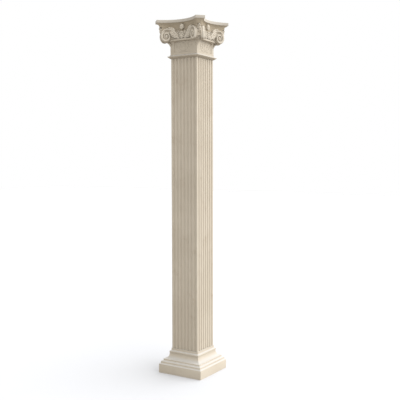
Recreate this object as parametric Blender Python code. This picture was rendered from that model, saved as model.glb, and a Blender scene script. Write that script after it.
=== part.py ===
"""Square fluted column of cast stone: moulded base, fluted shaft and scrolled capital.

Metres, +Z up. The origin is on the floor at the middle of the plinth's underside,
and each face of the square plan looks along X or Y.
"""
from math import asin, cos, exp, log, pi, radians, sin, sqrt

import bmesh
import bpy
from mathutils import Matrix, Vector

# Driving sizes of the three cast pieces
SHAFT_SIDE = 0.260
COLUMN_HEIGHT = 3.018
CAPITAL_HEIGHT = 0.317
BELL_HEIGHT = 0.116
BED_JOINT = 0.0003

# Base, from the floor up
PLINTH_SIDE = 0.428
PLINTH_HEIGHT = 0.075
LOWER_STEP_SIDE = 0.404
LOWER_STEP_RISE = 0.013
UPPER_STEP_SIDE = 0.370
UPPER_STEP_RISE = 0.012
WEATHERING_RISE = 0.009
CAVETTO_FOOT_SIDE = 0.362
CAVETTO_TOP_SIDE = 0.291
CAVETTO_HEIGHT = 0.052
TOP_FILLET_SIDE = 0.297
TOP_FILLET_RISE = 0.013
SEAT_SIDE = 0.270
SEAT_WEATHERING = 0.007
SEAT_RISE = 0.018

# Flutes, the same on each face of the shaft
FLUTES_PER_FACE = 7
FLUTE_WIDTH = 0.0215
FLUTE_DEPTH = 0.0085
FLUTE_BORDER = 0.0160

# Astragal, necking and lip of the capital
ASTRAGAL_SIDE = 0.307
ASTRAGAL_UNDERCUT = 0.015
ASTRAGAL_NOSE = 0.004
ASTRAGAL_CROWN = 0.018
NECK_SIDE = 0.268
NECK_FLARE = 0.040
LIP_SIDE = 0.312
LIP_FACE = 0.006
LIP_TOP_SIDE = 0.292
LIP_TOP_RISE = 0.008

# Sunk panel on each face of the necking
PANEL_WIDTH = 0.190
PANEL_SILL = 0.010
PANEL_HEAD = 0.008
PANEL_CAMBER = 0.006
PANEL_CORNER = 0.014
PANEL_SIDE = 0.261

# Abacus, four hollow sides between cut corners
ABACUS_WIDTH = 0.497
ABACUS_CORNER_CUT = 0.0806
ABACUS_HOLLOW = 0.083
ABACUS_FILLET = 0.024
ABACUS_COVE_HEIGHT = 0.026
ABACUS_COVE_DEPTH = 0.022
ABACUS_COVE_SETBACK = 0.030
ABACUS_BED_LIP = 0.008

# Core of the capital behind the carving, and the horns between the volutes
CORE_INSET = 0.0225
CORE_SETBACK = 0.055
HORN_INSET = 0.0195
HORN_SETBACK = 0.046
HORN_DROP = 0.080
CORE_TAIL = 0.005
HORN_TAIL = 0.007

# Volutes, two at each corner, on walls that run beside the abacus hollow
VOLUTE_INSET = 0.0105
VOLUTE_RADIUS = 0.0660
VOLUTE_GROWTH = 2.0
VOLUTE_SQUEEZE = 0.92
VOLUTE_TURNS = 2
VOLUTE_THICKNESS = 0.018
VOLUTE_ALONG = 0.141
VOLUTE_DROP = 0.078
VOLUTE_SWELL = 0.010
VOLUTE_RIB = 0.007
VOLUTE_EYE = 0.0120

# Stalks that climb from the middle of each face to the volutes
STALK_FOOT_ALONG = 0.020
STALK_FOOT_DROP = 0.015
STALK_FOOT_WIDTH = 0.016
STALK_BELLY = 0.016
STALK_RIB = 0.009
STALK_DEPTH = 0.020
STALK_TUCK = 0.0025
STALK_LAP = 0.010

# Inner scrolls under the abacus
HELIX_RADIUS = 0.024
HELIX_SQUEEZE = 1.0
HELIX_TURNS = 1
HELIX_ALONG = 0.046
HELIX_DROP = 0.033
HELIX_THICKNESS = 0.018
HELIX_RIB = 0.008
HELIX_EYE = 0.0095

# Fleuron at the middle of each side
FLEURON_WIDTH = 0.044
FLEURON_HEIGHT = 0.056
FLEURON_RISE = 0.018
FLEURON_DROP = 0.063
FLEURON_PETALS = 6

# Leaf that stands on the lip between the stalks
MIDDLE_LEAF_WIDTH = 0.052
MIDDLE_LEAF_HEIGHT = 0.062
MIDDLE_LEAF_RISE = 0.012
MIDDLE_LEAF_LOBES = 3

# Leaf under each pair of volutes
CORNER_LEAF_SIDE = 0.356
CORNER_LEAF_HEIGHT = 0.062
CORNER_LEAF_WIDTH = 0.034
CORNER_LEAF_LIP = 0.009
CORNER_LEAF_ROOT = 0.003

# Facets
VOLUTE_STEPS = 13
HELIX_STEPS = 10
EYE_STEPS = 8
FLUTE_STEPS = 5
CAVETTO_STEPS = 7
COVE_STEPS = 3
HOLLOW_STEPS = 11
FLARE_STEPS = 5
STALK_STEPS = 8
LEAF_STEPS = 6
SMOOTH_ANGLE = radians(32)

# Levels that follow from the sizes above
CAPITAL_BED = COLUMN_HEIGHT - CAPITAL_HEIGHT
ABACUS_BED = COLUMN_HEIGHT - ABACUS_FILLET - ABACUS_COVE_HEIGHT - ABACUS_BED_LIP
NECK_FOOT = CAPITAL_BED + ASTRAGAL_UNDERCUT + ASTRAGAL_NOSE + ASTRAGAL_CROWN
LIP_LEVEL = ABACUS_BED - BELL_HEIGHT
NECK_HEIGHT = LIP_LEVEL - NECK_FLARE - NECK_FOOT
PANEL_HEIGHT = NECK_HEIGHT + NECK_FLARE - PANEL_SILL - PANEL_HEAD
VOLUTE_LEVEL = ABACUS_BED - VOLUTE_DROP

# Hollow of the abacus, which the core, the volutes and the stalks follow
HALF_WIDTH = ABACUS_WIDTH / 2
HALF_CHORD = HALF_WIDTH - ABACUS_CORNER_CUT / sqrt(2)
HOLLOW_RADIUS = (HALF_CHORD ** 2 + ABACUS_HOLLOW ** 2) / (2 * ABACUS_HOLLOW)
HOLLOW_CENTRE = HALF_WIDTH - ABACUS_HOLLOW + HOLLOW_RADIUS
WALL_RADIUS = HOLLOW_RADIUS + VOLUTE_INSET

STONE_COLOUR = (0.66, 0.58, 0.45)


def stone(name, roughness):
    """Matt cast stone."""
    material = bpy.data.materials.new(name)
    material.use_nodes = True
    shader = material.node_tree.nodes["Principled BSDF"]
    shader.inputs["Base Color"].default_value = (*STONE_COLOUR, 1.0)
    shader.inputs["Roughness"].default_value = roughness
    shader.inputs["Metallic"].default_value = 0.0
    return material


def body(name, points, faces, material=None):
    """One closed body from points and faces, with its faces turned outwards."""
    mesh = bpy.data.meshes.new(name)
    mesh.from_pydata([tuple(point) for point in points], [], faces)
    work = bmesh.new()
    work.from_mesh(mesh)
    bmesh.ops.recalc_face_normals(work, faces=work.faces)
    work.to_mesh(mesh)
    work.free()
    if material:
        mesh.materials.append(material)
    made = bpy.data.objects.new(name, mesh)
    bpy.context.scene.collection.objects.link(made)
    return made


def loft(name, rings, material=None):
    """Closed body through rings of equal length, with flat ends."""
    count = len(rings[0])
    points = [point for ring in rings for point in ring]
    faces = [tuple(range(count))]
    for level in range(len(rings) - 1):
        low = level * count
        for i in range(count):
            j = (i + 1) % count
            faces.append((low + i, low + j, low + count + j, low + count + i))
    faces.append(tuple(range((len(rings) - 1) * count, len(rings) * count)))
    return body(name, points, faces, material)


def smooth(made):
    """Smooth shading with the arrises kept sharp."""
    made.data.shade_smooth()
    made.data.set_sharp_from_angle(angle=SMOOTH_ANGLE)


def square(half, level):
    """Corners of a square section."""
    return [Vector((x * half, y * half, level)) for x, y in ((-1, -1), (1, -1), (1, 1), (-1, 1))]


def quarter(start, end, steps, upright_first):
    """Quarter of an ellipse from one point (across, level) to another."""
    points = []
    for step in range(steps + 1):
        turn = step / steps * pi / 2
        across, up = (1 - cos(turn), sin(turn)) if upright_first else (sin(turn), 1 - cos(turn))
        points.append((start[0] + (end[0] - start[0]) * across, start[1] + (end[1] - start[1]) * up))
    return points


def face_turn(face):
    """Turn from the face that looks along -Y to one of the four faces."""
    return Matrix.Rotation(face * pi / 2, 3, "Z")


def make_base(material):
    """Plinth, two weathered steps, cavetto, fillet and the seat that carries the shaft."""
    profile = [(PLINTH_SIDE / 2, 0.0), (PLINTH_SIDE / 2, PLINTH_HEIGHT)]
    level = PLINTH_HEIGHT
    for side, rise in ((LOWER_STEP_SIDE, LOWER_STEP_RISE), (UPPER_STEP_SIDE, UPPER_STEP_RISE)):
        level += WEATHERING_RISE
        profile.append((side / 2, level))
        level += rise
        profile.append((side / 2, level))
    foot = (CAVETTO_FOOT_SIDE / 2, level)
    level += CAVETTO_HEIGHT
    profile += quarter(foot, (CAVETTO_TOP_SIDE / 2, level), CAVETTO_STEPS, False)
    profile.append((TOP_FILLET_SIDE / 2, level))
    level += TOP_FILLET_RISE
    profile.append((TOP_FILLET_SIDE / 2, level))
    level += SEAT_WEATHERING
    profile.append((SEAT_SIDE / 2, level))
    level += SEAT_RISE
    profile.append((SEAT_SIDE / 2, level))
    smooth(loft("base", [square(half, up) for half, up in profile], material))
    return level


def make_shaft(foot, material):
    """Square shaft with round flutes that run its whole height."""
    half = SHAFT_SIDE / 2
    first = FLUTE_BORDER + FLUTE_WIDTH / 2 - half
    pitch = -2 * first / (FLUTES_PER_FACE - 1)
    side = [Vector((-half, -half, 0.0))]
    for index in range(FLUTES_PER_FACE):
        for step in range(FLUTE_STEPS + 1):
            turn = pi * step / FLUTE_STEPS
            along = first + pitch * index - FLUTE_WIDTH / 2 * cos(turn)
            side.append(Vector((along, FLUTE_DEPTH * sin(turn) - half, 0.0)))
    plan = [face_turn(face) @ point for face in range(4) for point in side]
    levels = (foot + BED_JOINT, CAPITAL_BED - BED_JOINT)
    smooth(loft("shaft", [[point + Vector((0, 0, up)) for point in plan] for up in levels], material))


def hollow_plan(inset, setback, level):
    """Four hollow sides, set in from the abacus, between corners cut back on the diagonal."""
    radius = HOLLOW_RADIUS + inset
    cut_line = HALF_WIDTH + HALF_CHORD - setback * sqrt(2)
    end = pi / 4 + asin((cut_line - HOLLOW_CENTRE) / (radius * sqrt(2)))
    plan = []
    for face in range(4):
        for step in range(HOLLOW_STEPS + 1):
            angle = end * (2 * step / HOLLOW_STEPS - 1)
            point = Vector((radius * sin(angle), radius * cos(angle) - HOLLOW_CENTRE, level))
            plan.append(face_turn(face) @ point)
    return plan


def make_abacus():
    """Bed lip, cove and fillet, from the carving up."""
    cove_foot = ABACUS_BED + ABACUS_BED_LIP
    cove_top = COLUMN_HEIGHT - ABACUS_FILLET
    profile = [(1.0, ABACUS_BED)]
    profile += quarter((1.0, cove_foot), (0.0, cove_top), COVE_STEPS, True)
    profile.append((0.0, COLUMN_HEIGHT))
    return loft("abacus", [hollow_plan(ABACUS_COVE_DEPTH * share, ABACUS_COVE_SETBACK * share, level)
                           for share, level in profile])


def make_core():
    """Solid behind the carving, and the horns that fill the top of each corner."""
    core = [hollow_plan(CORE_INSET, CORE_SETBACK, up) for up in (LIP_LEVEL + LIP_FACE / 2, ABACUS_BED + CORE_TAIL)]
    horn = [hollow_plan(HORN_INSET, HORN_SETBACK, up)
            for up in (ABACUS_BED - HORN_DROP, ABACUS_BED + HORN_TAIL)]
    return [loft("core", core), loft("horns", horn)]


def make_necking(material):
    """Astragal, upright neck, its flare and the lip under the carving."""
    profile = [(SEAT_SIDE / 2, CAPITAL_BED)]
    level = CAPITAL_BED + ASTRAGAL_UNDERCUT
    profile.append((ASTRAGAL_SIDE / 2, level))
    level += ASTRAGAL_NOSE
    profile += quarter((ASTRAGAL_SIDE / 2, level), (NECK_SIDE / 2, NECK_FOOT), 3, False)
    flare_foot = (NECK_SIDE / 2, NECK_FOOT + NECK_HEIGHT)
    profile += quarter(flare_foot, (LIP_SIDE / 2, LIP_LEVEL), FLARE_STEPS, True)
    profile.append((LIP_SIDE / 2, LIP_LEVEL + LIP_FACE))
    profile.append((LIP_TOP_SIDE / 2, LIP_LEVEL + LIP_FACE + LIP_TOP_RISE))
    return loft("capital", [square(half, up) for half, up in profile], material)


def make_panel(face):
    """Cutter of one sunk panel, with rounded upper corners and a cambered head."""
    half = PANEL_WIDTH / 2
    low = NECK_FOOT + PANEL_SILL
    high = low + PANEL_HEIGHT
    outline = [(-half, low), (half, low), (half, high - PANEL_CORNER)]
    for step in range(1, 4):
        turn = step / 4 * pi / 2
        outline.append((half - PANEL_CORNER * (1 - cos(turn)), high - PANEL_CORNER * (1 - sin(turn))))
    head = half - PANEL_CORNER
    for step in range(7):
        share = 1 - step / 3
        outline.append((head * share, high + PANEL_CAMBER * (1 - share * share)))
    outline += [(-along, up) for along, up in reversed(outline[3:6])]
    outline.append((-half, high - PANEL_CORNER))
    rings = []
    for depth in (PANEL_SIDE / 2, LIP_SIDE):
        rings.append([face_turn(face) @ Vector((along, -depth, up)) for along, up in outline])
    return loft(f"panel_cutter_{face}", rings)


def on_wall(along, level, out, face):
    """Point on a face's hollow wall: along it, above the floor and out from it."""
    turn = along / WALL_RADIUS
    reach = WALL_RADIUS - out
    return face_turn(face) @ Vector((reach * sin(turn), reach * cos(turn) - HOLLOW_CENTRE, level))


def make_scroll(name, face, side, along, level, radius, squeeze, turns, steps, thickness, rib, eye):
    """Spiral disc and its eye: the band starts at the top, winds outwards, down and back in."""
    shares = (0.0, 0.22, 0.42, 0.84)
    rises = (rib, rib, 0.0, 0.0)
    across = len(shares)
    last = turns * steps
    swell = VOLUTE_SWELL * radius / VOLUTE_RADIUS

    def place(step, share, out):
        turn = 2 * pi * step / steps
        reach = radius * exp(-log(VOLUTE_GROWTH) * (step / steps + share))
        return on_wall(side * (along + squeeze * reach * sin(turn)), level + reach * cos(turn), out, face)

    # The band's rib dies out over the last half turn, under the eye
    points = []
    for step in range(last + 1):
        fade = min(1.0, 2 * (last - step) / steps)
        for share, rise in zip(shares, rises):
            points.append(place(step, share, swell * min(1.0, (step / steps + share) / turns) + rise * fade))
    faces = []
    for step in range(last):
        here = step * across
        for column in range(across - 1):
            faces.append((here + column, here + column + 1, here + across + column + 1, here + across + column))
        if step + steps < last:
            inner = here + steps * across
            faces.append((here + across - 1, inner, inner + across, here + 2 * across - 1))
    hole = [step * across + across - 1 for step in range(last - steps, last + 1)]
    hole += [last * across + column for column in range(across - 2, -1, -1)]
    faces.append(tuple(hole))

    # Edge and back
    rim = [step * across for step in range(steps + 1)] + list(range(across - 1, 0, -1))
    back = len(points)
    for index in rim:
        points.append(place(index // across, shares[index % across], -thickness))
    for i in range(len(rim)):
        j = (i + 1) % len(rim)
        faces.append((rim[i], rim[j], back + j, back + i))
    faces.append(tuple(range(back, back + len(rim))))

    rings = []
    for size, out in ((1.0, -thickness / 2), (1.0, swell + rib * 0.7), (0.6, swell + rib * 1.3)):
        ring = []
        for step in range(EYE_STEPS):
            turn = 2 * pi * step / EYE_STEPS
            ring.append(on_wall(side * (along + eye * size * sin(turn)), level + eye * size * cos(turn), out, face))
        rings.append(ring)
    return [body(name, points, faces), loft(f"{name}_eye", rings)]


def make_volute(face, side):
    """Corner volute."""
    return make_scroll(f"volute_{face}_{side}", face, side, VOLUTE_ALONG, VOLUTE_LEVEL, VOLUTE_RADIUS,
                       VOLUTE_SQUEEZE, VOLUTE_TURNS, VOLUTE_STEPS, VOLUTE_THICKNESS, VOLUTE_RIB, VOLUTE_EYE)


def make_helix(face, side):
    """Small scroll that turns towards the fleuron."""
    return make_scroll(f"helix_{face}_{side}", face, -side, -HELIX_ALONG, ABACUS_BED - HELIX_DROP,
                       HELIX_RADIUS, HELIX_SQUEEZE, HELIX_TURNS, HELIX_STEPS, HELIX_THICKNESS, HELIX_RIB, HELIX_EYE)


def make_stalk(face, side):
    """Channelled stalk from the lip to the top of a volute, wide in the middle."""
    band = VOLUTE_RADIUS * (1 - 1 / VOLUTE_GROWTH) - 2 * STALK_TUCK
    start = Vector((STALK_FOOT_ALONG, ABACUS_BED - HORN_DROP - STALK_FOOT_DROP))
    end = Vector((VOLUTE_ALONG + STALK_LAP, VOLUTE_LEVEL + VOLUTE_RADIUS - STALK_TUCK - band / 2))
    reach = end.x - start.x
    rise = end.y - start.y
    pulls = (start, start + Vector((reach * 0.36, rise * 0.22)), end - Vector((reach * 0.42, 0.0)), end)
    rings = []
    for step in range(STALK_STEPS + 1):
        t = step / STALK_STEPS
        weights = ((1 - t) ** 3, 3 * t * (1 - t) ** 2, 3 * t * t * (1 - t), t ** 3)
        slopes = (-3 * (1 - t) ** 2, 3 * (1 - t) * (1 - 3 * t), 3 * t * (2 - 3 * t), 3 * t * t)
        middle = sum((pull * weight for pull, weight in zip(pulls, weights)), Vector((0.0, 0.0)))
        heading = sum((pull * slope for pull, slope in zip(pulls, slopes)), Vector((0.0, 0.0))).normalized()
        normal = Vector((-heading.y, heading.x))
        width = STALK_FOOT_WIDTH + (band - STALK_FOOT_WIDTH) * t + STALK_BELLY * sin(pi * t)
        section = ((-0.5, -STALK_DEPTH), (-0.5, STALK_RIB * 0.6), (-0.32, STALK_RIB), (0.0, STALK_RIB * 0.3),
                   (0.32, STALK_RIB), (0.5, STALK_RIB * 0.6), (0.5, -STALK_DEPTH))
        ring = []
        for share, out in section:
            spot = middle + normal * (share * width)
            ring.append(on_wall(side * spot.x, spot.y, out, face))
        rings.append(ring)
    return loft(f"stalk_{face}_{side}", rings)


def make_fleuron(face):
    """Flower of blunt petals, domed towards its middle."""
    rings = []
    for size, out, notch in ((1.0, -HELIX_THICKNESS, 0.22), (1.0, 0.45 * FLEURON_RISE, 0.22),
                             (0.72, 0.8 * FLEURON_RISE, 0.30), (0.30, 0.6 * FLEURON_RISE, 0.0),
                             (0.16, FLEURON_RISE, 0.0)):
        ring = []
        for step in range(2 * FLEURON_PETALS):
            turn = pi * step / FLEURON_PETALS
            reach = size * (1 - notch * (step % 2))
            ring.append(on_wall(FLEURON_WIDTH / 2 * reach * sin(turn),
                                COLUMN_HEIGHT - FLEURON_DROP + FLEURON_HEIGHT / 2 * reach * cos(turn), out, face))
        rings.append(ring)
    return loft(f"fleuron_{face}", rings)


def make_middle_leaf(face):
    """Lobed leaf with a raised rib, upright between the two stalks."""
    foot = LIP_LEVEL + LIP_FACE
    steps = 2 * MIDDLE_LEAF_LOBES + 1
    side = []
    for step in range(1, steps):
        share = step / steps
        notch = 0.72 if step % 2 else 1.0
        side.append((MIDDLE_LEAF_WIDTH / 2 * notch * sin(pi * share ** 0.8), MIDDLE_LEAF_HEIGHT * share))
    outline = [(0.0, 0.0)] + side + [(0.0, MIDDLE_LEAF_HEIGHT)] + [(-along, up) for along, up in reversed(side)]
    rings = []
    for width, out in ((1.0, -STALK_DEPTH), (1.0, 0.3 * MIDDLE_LEAF_RISE), (0.3, MIDDLE_LEAF_RISE)):
        low = (1 - width) * MIDDLE_LEAF_HEIGHT / 4
        height = (1 + width) / 2
        rings.append([on_wall(along * width, foot + low + up * height, out, face) for along, up in outline])
    return loft(f"middle_leaf_{face}", rings)


def make_corner_leaf(face):
    """Leaf that grows out of the neck's corner and curls under two volutes."""
    foot = LIP_LEVEL - CORNER_LEAF_HEIGHT
    rings = []
    root = NECK_SIDE / 2 - CORNER_LEAF_ROOT
    profile = quarter((root, foot), (CORNER_LEAF_SIDE / 2, LIP_LEVEL - CORNER_LEAF_LIP), LEAF_STEPS, True)
    profile.append((CORNER_LEAF_SIDE / 2, LIP_LEVEL + CORNER_LEAF_ROOT))
    profile.append((CORNER_LEAF_SIDE / 2 - CORNER_LEAF_LIP, LIP_LEVEL + CORNER_LEAF_LIP))
    for index, (half, level) in enumerate(profile):
        wide = CORNER_LEAF_WIDTH * (0.5 + 0.5 * min(1.0, index / LEAF_STEPS))
        deep = NECK_SIDE / 2 - CORNER_LEAF_WIDTH
        plan = ((deep, deep), (half - wide, half - wide / 3), (half, half), (half - wide / 3, half - wide))
        rings.append([face_turn(face) @ Vector((x, -y, level)) for x, y in plan])
    return loft(f"corner_leaf_{face}", rings)


def put_away(parts, name):
    """Parts of a boolean in a collection of their own, out of the render."""
    group = bpy.data.collections.new(name)
    bpy.context.scene.collection.children.link(group)
    for part in parts:
        bpy.context.scene.collection.objects.unlink(part)
        group.objects.link(part)
        part.hide_render = True
        part.display_type = "WIRE"
    return group


def make_capital(material):
    """One casting: the necking, with its panels sunk and its carving joined on."""
    capital = make_necking(material)
    carving = [make_abacus()] + make_core()
    for face in range(4):
        carving.append(make_fleuron(face))
        carving.append(make_corner_leaf(face))
        carving.append(make_middle_leaf(face))
        for side in (-1, 1):
            carving += make_volute(face, side) + make_helix(face, side)
            carving.append(make_stalk(face, side))
    for name, operation, parts in (("panel_cutters", "DIFFERENCE", [make_panel(face) for face in range(4)]),
                                   ("carving", "UNION", carving)):
        cut = capital.modifiers.new(name, "BOOLEAN")
        cut.operation = operation
        cut.solver = "EXACT"
        cut.operand_type = "COLLECTION"
        cut.collection = put_away(parts, name)
    smooth(capital)


def main():
    for old in list(bpy.data.objects):
        bpy.data.objects.remove(old, do_unlink=True)
    shaft_foot = make_base(stone("cast stone of the base", 0.85))
    make_shaft(shaft_foot, stone("cast stone of the shaft", 0.85))
    make_capital(stone("cast stone of the capital", 0.85))


main()
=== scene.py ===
from math import asin, cos, exp, log, pi, radians, sin, sqrt

import bmesh
import bpy
from mathutils import Matrix, Vector


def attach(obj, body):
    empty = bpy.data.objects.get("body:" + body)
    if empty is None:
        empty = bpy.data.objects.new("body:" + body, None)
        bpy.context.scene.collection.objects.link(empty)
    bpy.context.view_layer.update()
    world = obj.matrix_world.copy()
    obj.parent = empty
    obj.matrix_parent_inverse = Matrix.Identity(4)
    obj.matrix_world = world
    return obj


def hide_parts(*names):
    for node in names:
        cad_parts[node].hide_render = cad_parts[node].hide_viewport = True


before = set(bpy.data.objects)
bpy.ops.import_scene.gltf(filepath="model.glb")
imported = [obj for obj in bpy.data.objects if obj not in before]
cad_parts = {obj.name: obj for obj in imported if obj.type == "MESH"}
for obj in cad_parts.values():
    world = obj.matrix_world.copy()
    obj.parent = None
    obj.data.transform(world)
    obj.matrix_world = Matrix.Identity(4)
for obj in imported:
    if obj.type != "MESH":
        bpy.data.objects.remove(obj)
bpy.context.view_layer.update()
scene = bpy.context.scene

# Levels and walls that all the pieces share, in metres
column = {
    "height": 3.018,
    "bedJoint": 0.0003,
    "seatSide": 0.270,
    "capitalHeight": 0.317,
    "abacusWidth": 0.497,
    "cornerCut": 0.0806,
    "hollow": 0.083,
    "voluteInset": 0.0105,
    "abacusDepth": 0.058,
}
capitalBed = column["height"] - column["capitalHeight"]
abacusBed = column["height"] - column["abacusDepth"]
halfWidth = column["abacusWidth"] / 2
halfChord = halfWidth - column["cornerCut"] / sqrt(2)
hollowRadius = (halfChord ** 2 + column["hollow"] ** 2) / (2 * column["hollow"])
hollowCentre = halfWidth - column["hollow"] + hollowRadius
wallRadius = hollowRadius + column["voluteInset"]
squareCorners = ((-1, -1), (1, -1), (1, 1), (-1, 1))


# Plain numbers and lists of points
def clamped(value):
    return min(1.0, max(0.0, value))


def smooth(value):
    value = clamped(value)
    return value * value * (3 - 2 * value)


def around(sides):
    return [2 * pi * side / sides for side in range(sides)]


def pullsFrom(level, pairs):
    # Pulls of a curve on the wall, from pairs of (along, height over the level)
    return [Vector((along, level + up)) for along, up in pairs]


def eased(points, radius, closed, steps=3, least=radians(22), share=0.45):
    # Rounds off the turns sharper than the least, within a share of each side
    points = [Vector(point) for point in points]
    count = len(points)
    tiny = 1e-9
    made = []
    for i, point in enumerate(points):
        if not closed and i in (0, count - 1):
            made.append(point)
            continue
        back = points[i - 1] - point
        ahead = points[(i + 1) % count] - point
        if back.length < tiny or ahead.length < tiny or pi - back.angle(ahead) < least:
            made.append(point)
            continue
        start = point + back.normalized() * min(radius, share * back.length)
        end = point + ahead.normalized() * min(radius, share * ahead.length)
        for step in range(steps + 1):
            t = step / steps
            made.append(start * (1 - t) ** 2 + point * (2 * t * (1 - t)) + end * t ** 2)
    return made


def quarter(start, end, steps, uprightFirst):
    # Quarter of an ellipse from one (across, level) to another
    points = []
    for step in range(steps + 1):
        turn = step / steps * pi / 2
        across, up = (1 - cos(turn), sin(turn)) if uprightFirst else (sin(turn), 1 - cos(turn))
        points.append((start[0] + (end[0] - start[0]) * across, start[1] + (end[1] - start[1]) * up))
    return points


def curvePoint(pulls, t):
    # Point and heading on a cubic through four pulls
    weights = ((1 - t) ** 3, 3 * t * (1 - t) ** 2, 3 * t * t * (1 - t), t ** 3)
    slopes = (-3 * (1 - t) ** 2, 3 * (1 - t) * (1 - 3 * t), 3 * t * (2 - 3 * t), 3 * t * t)
    spot = sum((pull * weight for pull, weight in zip(pulls, weights)), Vector((0.0, 0.0)))
    heading = sum((pull * slope for pull, slope in zip(pulls, slopes)), Vector((0.0, 0.0)))
    return spot, heading.normalized()


# Shells and objects
def loft(rings):
    # Points and faces of a closed shell through rings of equal length
    count = len(rings[0])
    points = [tuple(point) for ring in rings for point in ring]
    faces = [tuple(range(count))]
    for level in range(len(rings) - 1):
        low = level * count
        for i in range(count):
            j = (i + 1) % count
            faces.append((low + i, low + j, low + count + j, low + count + i))
    faces.append(tuple(range(len(points) - count, len(points))))
    return points, faces


def turnedDisc(centre, reach, squeeze, profile, sides):
    # Round shell that faces out of the wall, from pairs of (share of its reach, height)
    rings = []
    for size, out in profile:
        rings.append([Vector((centre.x + squeeze * reach * size * sin(turn), -out,
                              centre.y + reach * size * cos(turn))) for turn in around(sides)])
    return loft(rings)


def placed(name, data):
    made = bpy.data.objects.new(name, data)
    scene.collection.objects.link(made)
    return made


def gather(name, shells):
    # One object from several shells, with every face turned outwards
    points, faces = [], []
    for shellPoints, shellFaces in shells:
        first = len(points)
        points += shellPoints
        faces += [tuple(first + index for index in face) for face in shellFaces]
    mesh = bpy.data.meshes.new(name)
    mesh.from_pydata(points, [], faces)
    work = bmesh.new()
    work.from_mesh(mesh)
    bmesh.ops.recalc_face_normals(work, faces=work.faces)
    work.to_mesh(mesh)
    work.free()
    return placed(name, mesh)


def baked(made, name):
    # The evaluated shape of an object, as a plain mesh in its place
    bpy.context.view_layer.update()
    shape = made.evaluated_get(bpy.context.evaluated_depsgraph_get())
    mesh = bpy.data.meshes.new_from_object(shape)
    mesh.name = name
    plain = placed(name, mesh)
    bpy.data.objects.remove(made, do_unlink=True)
    return plain


def joined(name, parts):
    # Several plain objects as one
    work = bmesh.new()
    for part in parts:
        work.from_mesh(part.data)
        bpy.data.objects.remove(part, do_unlink=True)
    mesh = bpy.data.meshes.new(name)
    work.to_mesh(mesh)
    work.free()
    return placed(name, mesh)


def marked(made, name, levels, depths, fades=(0.006, 0.002)):
    # Point attribute that goes from 0 to 1 between two depths behind the hollow wall, and
    # fades out at the lower and the upper level
    low, high = levels
    none, full = depths
    mark = made.data.attributes.new(name, "FLOAT", "POINT")
    for point, value in zip(made.data.vertices, mark.data):
        x, y, z = point.co
        away, along = max(abs(x), abs(y)), min(abs(x), abs(y))
        depth = sqrt((away - hollowCentre) ** 2 + along ** 2) - wallRadius
        ends = clamped((z - low) / fades[0]) * clamped((high - z) / fades[1])
        value.value = smooth((depth - none) / (full - none)) * ends


def finished(made, material, sharpFrom):
    # Smooth shading with sharp arrises, the stone, and the body
    made.data.shade_smooth()
    made.data.set_sharp_from_angle(angle=radians(sharpFrom))
    made.data.materials.clear()
    made.data.materials.append(material)
    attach(made, "root")
    made.data.calc_loop_triangles()
    print(made.name, len(made.data.loop_triangles), "triangles")


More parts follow.
